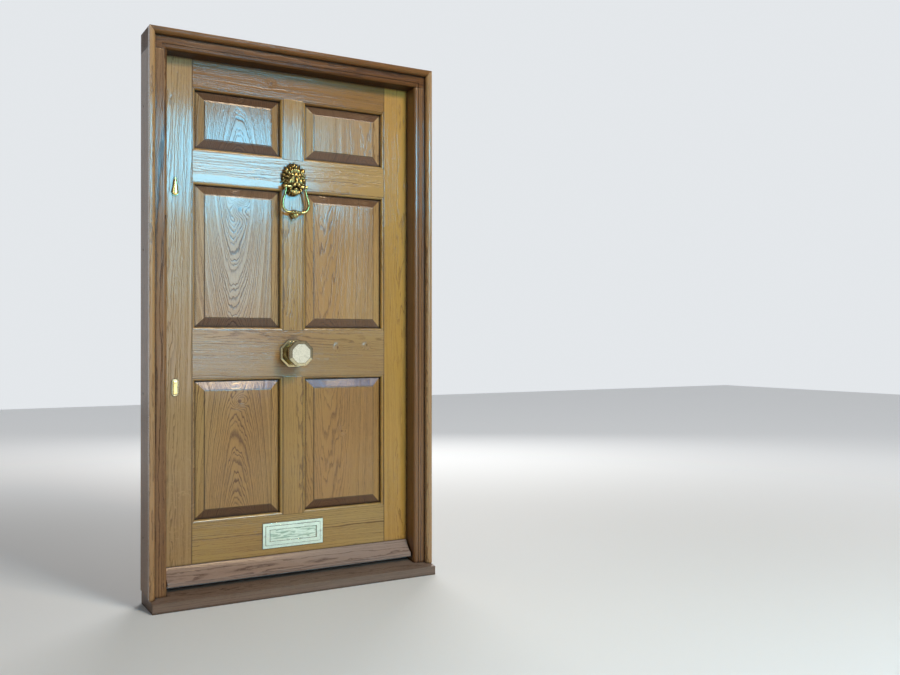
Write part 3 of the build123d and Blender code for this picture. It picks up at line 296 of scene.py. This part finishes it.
def metal(name, colour, roughness, tarnish, smear=0.08, recess=0.006, edge=0.0, painted_shade_past=endless,
          streaks=0.0):
    """Bare or plated metal. The tarnish is the colour of its recesses and of its streaks where it has
    these.
    The same colour is painted as shade along its edges where it has an edge width, and on what lies past
    a depth from the frame's face."""
    material = bpy.data.materials.new(name)
    material.use_nodes = True
    tree = material.node_tree
    shader = tree.nodes["Principled BSDF"]
    place = add_node(tree, "TexCoord", []).outputs["Object"]
    cloud = noise(tree, place, (1, 1, 1), 55.0, 3.0, 0.6, 0.6)
    wipe = noise(tree, place, (0.35, 1, 1), 400.0, 2.0, 0.6)
    open_air = add_node(tree, "AmbientOcclusion", {"Distance": recess}, samples=6).outputs["AO"]
    hidden = spread(tree, open_air, 0.30, 0.95, 1.0, 0.0)
    shade = plus(tree, hidden, spread(tree, cloud, 0.42, 0.72), cloud_share)
    if streaks:
        drawn = noise(tree, place, (0.16, 1, 1), streak_scale, 2.0, 0.5, 0.5)
        shade = plus(tree, shade, spread(tree, drawn, 0.48, 0.60), streaks)
    # Painted shade: a dark line along the arrises, in the tarnish colour.
    if edge:
        rounded = add_node(tree, "Bevel", {"Radius": edge}, samples=6).outputs[0]
        flat = tree.nodes.new("ShaderNodeNewGeometry").outputs["Normal"]
        turned = add_node(tree, "VectorMath", [rounded, flat], operation="DOT_PRODUCT").outputs["Value"]
        shade = plus(tree, shade, spread(tree, turned, 0.975, 0.9995, 1.0, 0.0), painted_arris_shade_share)
    # Painted shade: what lies past the given depth, such as the knob's sides and neck, is darkened to
    # the tarnish colour.
    depth = add_node(tree, "SeparateXYZ", [place]).outputs[1]
    painted_side_shade = spread(tree, depth, painted_shade_past, painted_shade_past + painted_shade_fade)
    shade = plus(tree, shade, painted_side_shade, painted_shade_share, clamp=True)
    tree.links.new(mix(tree, shade, (*colour, 1), (*tarnish, 1)), shader.inputs["Base Color"])
    rough = sum_up(tree, "MULTIPLY_ADD", cloud, smear, roughness - smear / 2)
    rough = plus(tree, rough, hidden, 0.25)
    tree.links.new(rough, shader.inputs["Roughness"])
    soft = add_node(tree, "Bevel", {"Radius": metal_arris}, samples=4).outputs[0]
    inputs = {"Strength": wipe_strength, "Distance": wipe_relief, "Height": wipe, "Normal": soft}
    tree.links.new(add_node(tree, "Bump", inputs).outputs[0], shader.inputs["Normal"])
    shader.inputs["Metallic"].default_value = 1.0
    return material


dress("water_bar", metal("water_bar_zinc", (0.50, 0.51, 0.50), 0.45, (0.16, 0.16, 0.15), 0.2))

# The leaf's framing: two stiles the full height of the door, four rails tenoned into them and three
# muntins between the rails, all of oak with an ovolo stuck round each panel opening.

wood_face = 0.071
leaf_light, leaf_dark = (0.35, 0.205, 0.058), (0.12, 0.056, 0.014)
shoulder, half_muntin, leaf_ring = 0.399, 0.041, 0.0035
# The stiles lie past these seams at the sides, so their faces take the paler painted light.
shoulder_seam = ((0.0, 0.0, 1.0), (shoulder, endless, endless))
dress("lock_stile", oak("lock_stile_oak", (0.290, 0.172, 0.064), leaf_dark, (-0.52, 0.19, 0),
                        lean=(0.008, 0.01), ring=leaf_ring, fleck=0.5, seams=shoulder_seam))
dress("hinge_stile", oak("hinge_stile_oak", (0.345, 0.182, 0.034), (0.15, 0.070, 0.012),
                         (0.50, 0.20, 0), lean=(0.01, -0.006), ring=leaf_ring, fleck=0.2,
                         knots=((0.512, wood_face, 1.62), (0.505, wood_face, 0.72)), knot_size=0.007,
                         seams=shoulder_seam))
for name, light, dark, pith, lean, knots, shine in (
    # The top rail's colours are darker than the other rails': painted shade, as if under the head.
    ("top_rail", (0.215, 0.100, 0.020), (0.075, 0.030, 0.006), (0, 0.13, 1.90), 0.020,
     ((-0.09, wood_face, 1.972),), 0.4),
    ("frieze_rail", leaf_light, leaf_dark, (0, 0.16, 1.57), -0.012, (), 1.0),
    ("lock_rail", (0.315, 0.195, 0.075), leaf_dark, (0, 0.11, 0.985), 0.035,
     ((0.19, wood_face, 0.94), (0.32, wood_face, 0.95)), 1.0),
    ("bottom_rail", (0.33, 0.200, 0.055), leaf_dark, (0, 0.20, 0.10), 0.012, (), 1.0),
):
    dress(name, oak(name + "_oak", light, dark, pith, level, (0.0, lean), fleck=0.2, knots=knots,
                    knot_size=0.008, seams=shoulder_seam, shine=shine))
for name, low, high, across in (
    ("top_muntin", 1.678, 1.9185, 0.05),
    ("middle_muntin", 1.006, 1.565, -0.03),
    ("lower_muntin", 0.2825, 0.827, 0.04),
):
    seams = ((0.0, 0.0, (low + high) / 2), (half_muntin, endless, (high - low) / 2))
    dress(name, oak(name + "_oak", (0.31, 0.175, 0.045), leaf_dark, (across, 0.18, 0),
                    lean=(0.006, 0.004), ring=leaf_ring, seams=seams))

# The six panels: wide plain-sawn boards, raised and fielded by a broad bevel worked across their edges.
# They float in grooves in the framing. Sawn near the heart, they show cathedrals and swirls.

# The panels' bevels are painted darker at top and bottom by this factor, as shade.
field_face, panel_dark, painted_bevel_shade = 0.074, (0.11, 0.050, 0.014), 0.34
half_wide, column_middle = 0.131, {"left": -0.22, "right": 0.22}
row_heights = {"top": (1.798, 0.07225), "middle": (1.2855, 0.2315), "lower": (0.55475, 0.22425)}
column_contrast = {"left": 1.1, "right": 0.65}
for row, column, light, pith, lean, ring, wobble, knots, knot_size in (
    ("top", "left", (0.27, 0.165, 0.072), (-0.215, 0.150, 1.8), -0.14, 0.0040, 0.016, (), 0.02),
    ("top", "right", (0.33, 0.21, 0.098), (0.33, 0.200, 1.8), 0.03, 0.0045, 0.03, (), 0.02),
    ("middle", "left", (0.34, 0.225, 0.110), (-0.235, 0.150, 1.30), 0.13, 0.0034, 0.018,
     ((-0.215, field_face, 1.47),), 0.016),
    ("middle", "right", (0.35, 0.21, 0.080), (0.14, 0.175, 1.30), 0.06, 0.0042, 0.03, (), 0.02),
    ("lower", "left", (0.32, 0.185, 0.056), (-0.225, 0.150, 0.50), -0.11, 0.0036, 0.02,
     ((-0.215, field_face, 0.735),), 0.013),
    ("lower", "right", (0.31, 0.172, 0.050), (0.16, 0.190, 0.50), 0.05, 0.0040, 0.03,
     ((0.21, field_face, 0.60),), 0.008),
):
    name = f"{row}_{column}_panel"
    middle_z, half_high = row_heights[row]
    field = ((column_middle[column], 0.0, middle_z), (half_wide, endless, half_high))
    dress(name, oak(name + "_oak", light, panel_dark, pith, lean=(lean, 0.006), ring=ring, wobble=wobble,
                    knots=knots, knot_size=knot_size, contrast=column_contrast[column], seams=field,
                    painted_rim_light=painted_bevel_shade))

# The weatherboard: a moulded oak drip that is screwed across the foot of the leaf and throws rain clear
# of the sill. It stands further out than the rest and has weathered to a dull mauve brown; its blue-grey
# cast is partly that weathering and partly a painted sky reflection.

dress("weatherboard", oak("weatherboard_oak", (0.26, 0.185, 0.148), (0.095, 0.058, 0.045),
                          (0, 0.10, 0.02), level, (0.0, 0.012), fleck=0.15, shine=0.3))

# The hinges: three pressed butts, each a pair of plates let into the jamb and the stile and a pin
# through their knuckles, with countersunk screws. They are plain brass, dulled by handling.

dull_brass = metal("dull_brass", (0.72, 0.58, 0.30), 0.30, (0.16, 0.11, 0.045), 0.12)
for name in ("top", "middle", "bottom"):
    dress(f"{name}_hinge_frame_plate", dull_brass)
    dress(f"{name}_hinge_door_plate", dull_brass)
for name in ("hinge_pins", "frame_screws", "leaf_screws"):
    dress(name, dull_brass)

# The mortice deadlocks: plated steel cases in the lock stile, brass bolts, and brass keeps let into the
# jamb. The bolts and nuts that hold the knob, the knocker and the letter plate, and the flap's rod and
# spring, are of the same two metals.

steel = metal("plated_steel", (0.56, 0.57, 0.57), 0.34, (0.12, 0.11, 0.10), 0.15)
for name in ("upper_lock", "lower_lock", "knob_bolt", "knob_nut", "letter_bolts", "knocker_bolts",
             "flap_rod", "flap_spring"):
    dress(name, steel)
for name in ("upper_bolt", "lower_bolt", "upper_keep", "lower_keep", "inner_escutcheons",
             "through_nuts"):
    dress(name, dull_brass)

# The centre knob: an octagonal head on a turned neck, over an octagonal rose, all in polished brass.
# Its arrises, and its sides and neck behind the face, are painted dark as shade.

knob_face = -0.0132
dress("knob", metal("knob_brass", (0.88, 0.78, 0.50), 0.08, (0.05, 0.032, 0.008), 0.06, 0.010, 0.0050,
                    knob_face))
dress("knob_rose", metal("rose_brass", (0.95, 0.83, 0.48), 0.16, (0.06, 0.038, 0.010), 0.10, 0.004,
                         0.0020))

# The letter plate: a brass plate with a stepped rim, bolted through the rail, and a flap sprung on a
# rod behind it, streaked by cleaning. The inside has a plain plate round the slot.

letter_brass, letter_tarnish, flap_tarnish = (0.84, 0.98, 0.84), (0.07, 0.07, 0.03), (0.20, 0.36, 0.24)
plate_brass = metal("plate_brass", letter_brass, 0.15, letter_tarnish, 0.12, 0.009, 0.0016)
for name in ("letter_plate", "inner_letter_plate"):
    dress(name, plate_brass)
dress("letter_flap", metal("flap_brass", letter_brass, 0.15, flap_tarnish, 0.12, 0.009, 0.0016,
                           streaks=0.6))

# The knocker's head: a lion's mask cast in brass from a carved pattern, with a mane of pointed locks.
# Two bolts hold it through the rail. Polish and rain leave its folds dark and its high places bright.

mask_mid, mouth_corner, ring_out = 1.602, 1.571, 0.028
ring_face = wood_face - ring_out
cast_brass = metal("cast_brass", (0.42, 0.335, 0.13), 0.19, (0.010, 0.010, 0.002), 0.14, 0.024)
wax = bmesh.new()


def spot(x, out, up):
    """A place on the head: across, out from the door and up from its middle, in millimetres."""
    return Vector((x / 1000, wood_face - out / 1000, mask_mid + up / 1000))


def lump(shape, place, radii, turn=0.0, tip=0.0):
    """A rounded form of the face: turn rolls it in the door's plane, and tip leans it out of it."""
    made = bmesh.ops.create_uvsphere(shape, u_segments=18, v_segments=12, radius=0.001)["verts"]
    bmesh.ops.scale(shape, vec=radii, verts=made)
    for angle, axis in ((tip, "X"), (turn, "Y")):
        roll = Matrix.Rotation(math.radians(angle), 3, axis)
        bmesh.ops.rotate(shape, cent=(0, 0, 0), matrix=roll, verts=made)
    bmesh.ops.translate(shape, vec=place, verts=made)


def lock(shape, root, tip, width, arch, curl=0.0, blunt=0.5):
    """A lock of hair from root to tip, arched off the head and curled to one side, in metres."""
    made = bmesh.ops.create_uvsphere(shape, u_segments=10, v_segments=10, radius=1)["verts"]
    run = tip - root
    side = run.cross(Vector((0, -1, 0))).normalized()
    off = run.cross(side).normalized()
    off = off if off.y < 0 else -off
    for vert in made:
        share = (vert.co.z + 1) / 2
        slim = width * (1 - share * blunt)
        swing = math.sin(math.pi * share)
        vert.co = (root + run * share + side * (vert.co.x * slim + curl * (share ** 2 - swing * 0.5))
                   + off * (vert.co.y * slim * 0.9 + arch * swing))


def collar(shape, middle, length, radius):
    """A short round bar on the line that the ring turns about, in millimetres."""
    made = bmesh.ops.create_cone(shape, cap_ends=True, segments=24, radius1=radius / 1000,
                                 radius2=radius / 1000, depth=length / 1000)["verts"]
    bmesh.ops.rotate(shape, cent=(0, 0, 0), matrix=Matrix.Rotation(math.pi / 2, 3, "Y"), verts=made)
    bmesh.ops.translate(shape, vec=(middle / 1000, ring_face, mouth_corner), verts=made)


lump(wax, spot(0, 0, 0), (46, 24, 58))
lump(wax, spot(0, 14, -4), (31, 20, 42))
for count, turn, root, tip, root_out, tip_out, width in (
    (25, 0.0, 0.60, 0.985, 7, 3, 6.4),
    (21, 0.5, 0.50, 0.90, 14, 9, 6.2),
    (18, 0.0, 0.40, 0.76, 21, 16, 5.8),
):
    for number in range(count):
        angle = math.tau * (number + turn) / count
        across, up = math.sin(angle), math.cos(angle)
        reach = tip * (0.96 if number % 2 else 1.0)
        lock(wax, spot(59 * root * across, root_out, 72 * root * up),
             spot(58 * reach * across, tip_out, 71 * reach * up),
             width / 1000, 0.004, 0.0035 if number % 2 else -0.0025, 0.72)
for number in range(9):
    across = (number - 4) / 4
    lock(wax, spot(24 * across, 30, 22 - 10 * across ** 2), spot(33 * across, 25, 50 - 17 * across ** 2),
         0.0048, 0.005, 0.002 * (-1) ** number, 0.75)

# Of each side: brow, eye and its lower lid, cheek, muzzle, nostril, ear, jaw and the ring's socket.
for side in (-1, 1):
    lump(wax, spot(side * 13, 31, 15), (13, 7, 4.6), side * -24, 8)
    lump(wax, spot(side * 13.5, 29, 4.5), (5.6, 5.4, 4.2), side * 10)
    lump(wax, spot(side * 14, 29.5, 0.2), (7.6, 4.0, 2.0), side * 14)
    lump(wax, spot(side * 22, 21, -11), (11, 11, 14), side * 10)
    lump(wax, spot(side * 9.5, 35, -25), (10.5, 10.5, 8.6), side * 12)
    lump(wax, spot(side * 5.2, 41.5, -17.5), (3.6, 4.0, 3.0))
    lump(wax, spot(side * 33, 19, 31), (8.5, 6, 11), side * 28)
    lump(wax, spot(side * 28, 21, 29), (5, 5, 8), side * 28)
    for low in (-41, -33):
        lump(wax, spot(side * (21 + (low + 41) * 0.5), 24, low), (5, 6, 7), side * 20)
    collar(wax, side * 23.5, 22, 6.2)

# Down the middle: forehead, bridge and tip of the nose, lower lip, chin and beard.
lump(wax, spot(0, 27, 14), (9, 9, 16), 0, -6)
lump(wax, spot(0, 36, -4), (6.6, 7.5, 19), 0, -14)
lump(wax, spot(0, 43, -16), (8.0, 4.6, 5.2))
lump(wax, spot(0, 30, -40), (11, 9, 5.5))
lump(wax, spot(0, 27, -47), (13, 8, 7))
for number in range(7):
    across = (number - 3) / 3
    lock(wax, spot(17 * across, 28, -45 + 5 * across ** 2),
         spot(23 * across, 21, -66 + 13 * across ** 2), 0.0046, 0.006, 0.001 * (-1) ** number, 0.35)


def finished(piece):
    """The mesh that a piece's modifiers or its bevel make of it."""
    ready = piece.evaluated_get(bpy.context.evaluated_depsgraph_get())
    return bpy.data.meshes.new_from_object(ready)


def cast(name, shape, grain, passes, back=wood_face):
    """Melts overlapping forms into one casting, rubs it down and cuts its back flat."""
    mesh = bpy.data.meshes.new(name)
    shape.to_mesh(mesh)
    shape.free()
    piece = bpy.data.objects.new(name, mesh)
    bpy.context.scene.collection.objects.link(piece)
    melt = piece.modifiers.new("melt", "REMESH")
    melt.mode, melt.voxel_size = "VOXEL", grain
    poured = finished(piece)
    piece.modifiers.clear()
    shape = bmesh.new()
    shape.from_mesh(poured)
    for _ in range(passes):
        bmesh.ops.smooth_vert(shape, verts=shape.verts, factor=0.5, use_axis_x=True, use_axis_y=True,
                              use_axis_z=True)
    bmesh.ops.bisect_plane(shape, geom=[*shape.verts, *shape.edges, *shape.faces], plane_co=(0, back, 0),
                           plane_no=(0, 1, 0), clear_outer=True)
    bmesh.ops.holes_fill(shape, edges=[edge for edge in shape.edges if edge.is_boundary], sides=0)
    bmesh.ops.recalc_face_normals(shape, faces=shape.faces)
    for face in shape.faces:
        face.smooth = True
    shape.to_mesh(mesh)
    shape.free()
    bpy.data.meshes.remove(poured)
    return piece


lion_head = cast("lion_head", wax, 0.0011, 1)
lion_head.data.materials.append(cast_brass)
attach(lion_head, "leaf")
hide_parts("lion_mask")

# The knocker's ring: a cast brass horseshoe with barrels that turn on pins at the corners of the
# lion's mouth, three knuckles at its foot and a leaf-shaped drop under them.

ring_wire, small_grain = 0.0050, 0.0008
foot = mouth_corner - 0.101
half_bow = ((40, 0, 0.82), (40.5, -14, 0.85), (45, -34, 0.92), (53.5, -58, 1.05), (54, -80, 1.12),
            (43, -98, 1.1), (22, -102, 1.0))
line = [(-x, z, r) for x, z, r in half_bow] + [(x, z, r) for x, z, r in reversed(half_bow)]
ring_line = bpy.data.curves.new("ring_line", "CURVE")
ring_line.dimensions, ring_line.bevel_depth, ring_line.bevel_resolution = "3D", ring_wire, 5
ring_line.resolution_u, ring_line.use_fill_caps = 10, True
bow = ring_line.splines.new("NURBS")
bow.points.add(len(line) - 1)
for point, (x, z, thick) in zip(bow.points, line):
    point.co = (x / 1000, ring_face, mouth_corner + z / 1000, 1)
    point.radius = thick
bow.order_u, bow.use_endpoint_u = 3, True
bow_object = bpy.data.objects.new("ring_bow", ring_line)
bpy.context.scene.collection.objects.link(bow_object)
bow_mesh = finished(bow_object)
bpy.data.objects.remove(bow_object)
wax = bmesh.new()
wax.from_mesh(bow_mesh)
bpy.data.meshes.remove(bow_mesh)
for side in (-1, 1):
    for middle, length, thick in ((42.6, 15, 6.6), (38.0, 2.6, 7.6), (47.6, 3.0, 7.4)):
        collar(wax, side * middle, length, thick)
    lump(wax, Vector((side * 0.0135, ring_face, foot)), (6.4, 7.4, 7.4))
    lump(wax, Vector((side * 0.0210, ring_face, foot)), (2.4, 6.6, 6.6))
    lock(wax, Vector((side * 0.004, ring_face, foot - 0.003)),
         Vector((side * 0.0085, ring_face, foot - 0.022)), 0.0052, 0.001, side * 0.003, 0.6)
lump(wax, Vector((0, ring_face, foot)), (7.0, 9.2, 9.2))
lock(wax, Vector((0, ring_face, foot - 0.003)), Vector((0, ring_face, foot - 0.031)),
     0.0072, 0.0, 0.0, 0.8)
horseshoe = cast("horseshoe", wax, small_grain, 1)
horseshoe.data.materials.append(cast_brass)
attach(horseshoe, "knocker_ring")
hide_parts("knocker_ring")

# The strike: a small cast brass shell screwed to the muntin, with a rounded boss that takes the blow of
# the ring's foot.

wax = bmesh.new()
lump(wax, Vector((0, wood_face - 0.009, foot)), (9.0, 8.5, 9.0))
lump(wax, Vector((0, wood_face, foot - 0.002)), (14.5, 5.0, 15.5))
for number in range(7):
    across = (number - 3) / 3
    lock(wax, Vector((0.004 * across, wood_face - 0.004, foot - 0.002)),
         Vector((0.0155 * across, wood_face - 0.001, foot - 0.0235 + 0.014 * across ** 2)),
         0.0034, 0.0015, 0.0, 0.4)
shell = cast("strike_shell", wax, small_grain, 1)
shell.data.materials.append(cast_brass)
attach(shell, "leaf")
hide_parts("knocker_strike")

# The keyhole covers: a pear-shaped one above and an oblong one below, each a polished brass drop that
# swings on a pin in its back plate.

bright_brass = metal("bright_brass", (0.86, 0.74, 0.42), 0.12, (0.06, 0.038, 0.010), 0.08, 0.010, 0.0045)
for name in ("upper_escutcheon", "lower_escutcheon", "cover_pins"):
    dress(name, bright_brass)

key_line, cover_back, cover_grain, cover_passes = -0.462, 0.0677, 0.0006, 3
pear_foot, pear_rise, pear_forms = 1.5178, 0.0502, 15
pear_radius, pear_taper, pear_stand = 13.2, 8.6, 5.0
wax = bmesh.new()
for number in range(pear_forms):
    share = number / (pear_forms - 1)
    thick = pear_radius - pear_taper * share
    lump(wax, Vector((key_line, cover_back, pear_foot + pear_rise * share)), (thick, pear_stand, thick))
pear = cast("pear_cover", wax, cover_grain, cover_passes, cover_back)
wax = bmesh.new()
bmesh.ops.create_cube(wax, size=0.001)
bmesh.ops.scale(wax, vec=(18, 7, 52), verts=wax.verts)
bmesh.ops.translate(wax, vec=(key_line, cover_back, 0.793), verts=wax.verts)
bmesh.ops.bevel(wax, geom=wax.edges, offset=0.0034, offset_type="OFFSET", segments=4, profile=0.5,
                affect="EDGES", material=-1)
oblong = cast("oblong_cover", wax, cover_grain, cover_passes, cover_back)
drop_brass = metal("drop_brass", (0.95, 0.74, 0.28), 0.17, (0.08, 0.05, 0.012), 0.10, 0.006)
for cover, body in ((pear, "upper_cover"), (oblong, "lower_cover")):
    cover.data.materials.append(drop_brass)
    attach(cover, body)
    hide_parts(body)

# The studio: a pale matt floor and a pale backdrop that meet in haze, the lamps and the camera. The
# lamps in front stand where the varnish mirrors them, and most of them are as blue as the sky.

pale_air, floor_colour, dim_air = (0.86, 0.89, 0.92, 1), (0.70, 0.71, 0.72, 1), (0.234, 0.234, 0.234, 1)
floor_glow, backdrop_glow = 0.42, 0.9


def seen_only(tree, strength):
    """A strength for the rays that show or mirror a surface, and none for those that only light it."""
    rays = add_node(tree, "LightPath", []).outputs
    mirrored = sum_up(tree, "MAXIMUM", rays["Is Glossy Ray"], rays["Is Transmission Ray"])
    seen = sum_up(tree, "MAXIMUM", rays["Is Camera Ray"], mirrored)
    return sum_up(tree, "MULTIPLY", seen, strength)


def hang(name, shape):
    """Puts a sheet of the studio in place, and gives it with its material's nodes."""
    mesh = bpy.data.meshes.new(name)
    shape.to_mesh(mesh)
    shape.free()
    sheet = bpy.data.objects.new(name, mesh)
    bpy.context.scene.collection.objects.link(sheet)
    material = bpy.data.materials.new("pale_" + name)
    material.use_nodes = True
    mesh.materials.append(material)
    return sheet, material.node_tree


shape = bmesh.new()
bmesh.ops.create_grid(shape, x_segments=1, y_segments=1, size=14)
floor, tree = hang("floor", shape)
place = add_node(tree, "TexCoord", []).outputs["Object"]
distance = add_node(tree, "VectorMath", [place], operation="LENGTH").outputs["Value"]
shader = tree.nodes["Principled BSDF"]
shader.inputs["Base Color"].default_value = floor_colour
shader.inputs["Roughness"].default_value = 0.7
shader.inputs["Specular IOR Level"].default_value = 0.2
shader.inputs["Emission Color"].default_value = pale_air
haze = seen_only(tree, spread(tree, distance, 1.6, 6.0, 0.0, floor_glow))
tree.links.new(haze, shader.inputs["Emission Strength"])

shape = bmesh.new()
upended = Matrix.Rotation(math.pi / 2, 4, "X")
bmesh.ops.create_grid(shape, x_segments=1, y_segments=1, size=1, matrix=upended)
bmesh.ops.scale(shape, vec=(16, 1, 7), verts=shape.verts)
bmesh.ops.translate(shape, vec=(0, 11, 5), verts=shape.verts)
backdrop, tree = hang("backdrop", shape)
glow = add_node(tree, "Emission", {"Color": pale_air, "Strength": seen_only(tree, backdrop_glow)})
tree.links.new(glow.outputs[0], tree.nodes["Material Output"].inputs["Surface"])

world = bpy.data.worlds.new("studio")
bpy.context.scene.world = world
world.use_nodes = True
tree = world.node_tree
at_camera = add_node(tree, "LightPath", []).outputs["Is Camera Ray"]
air = mix(tree, at_camera, dim_air, (0.774, 0.801, 0.828, 1))
tree.links.new(air, tree.nodes["Background"].inputs["Color"])


def lamp(name, place, aim, width, height, power, colour):
    """A soft box that looks at a point."""
    data = bpy.data.lights.new(name, "AREA")
    data.shape, data.size, data.size_y = "RECTANGLE", width, height
    data.energy, data.color = power, colour
    made = bpy.data.objects.new(name, data)
    bpy.context.scene.collection.objects.link(made)
    made.location = place
    made.rotation_euler = (Vector(aim) - Vector(place)).to_track_quat("-Z", "Y").to_euler()


lamp("sky_lamp", (1.09, -4.2, 2.45), (1.09, 0.0, 2.45), 1.42, 0.8, 88, (0.13, 0.66, 1.0))
lamp("haze_lamp", (1.00, -4.2, 1.68), (1.00, 0.0, 1.68), 1.04, 0.75, 17, (0.46, 0.82, 1.0))
lamp("low_lamp", (0.92, -4.2, 0.90), (0.92, 0.0, 0.90), 0.90, 0.8, 7.5, (0.68, 0.82, 1.0))
lamp("knob_lamp", (1.66, -4.2, 0.85), (1.66, 0.0, 0.85), 0.44, 0.6, 0.75, (0.62, 0.74, 1.0))
lamp("high_lamp", (3.5, -9.0, 6.0), (0.0, 0.0, 1.0), 3.6, 1.2, 125, (0.25, 0.55, 1.0))
lamp("side_lamp", (-1.75, -4.4, 1.6), (-1.0, 0.0, 1.3), 0.9, 1.8, 15, (0.86, 0.95, 1.0))
lamp("warm_lamp", (1.5, -4.4, 4.4), (0.0, 0.0, 1.1), 1.6, 1.2, 215, (1.0, 0.72, 0.42))
lamp("back_lamp", (2.4, 4.0, 3.2), (0.0, 0.0, 1.0), 3.0, 2.2, 160, (1.0, 0.98, 0.95))

camera_data = bpy.data.cameras.new("camera")
camera_data.sensor_width = 36
camera_data.lens = 37.4976
camera = bpy.data.objects.new("camera", camera_data)
bpy.context.scene.collection.objects.link(camera)
camera.location = (-1.33771, -3.43590, 0.96892)
camera.rotation_euler = (math.radians(90.159), 0, math.radians(-30.378))
bpy.context.scene.camera = camera
bpy.context.scene.view_settings.view_transform = "Standard"
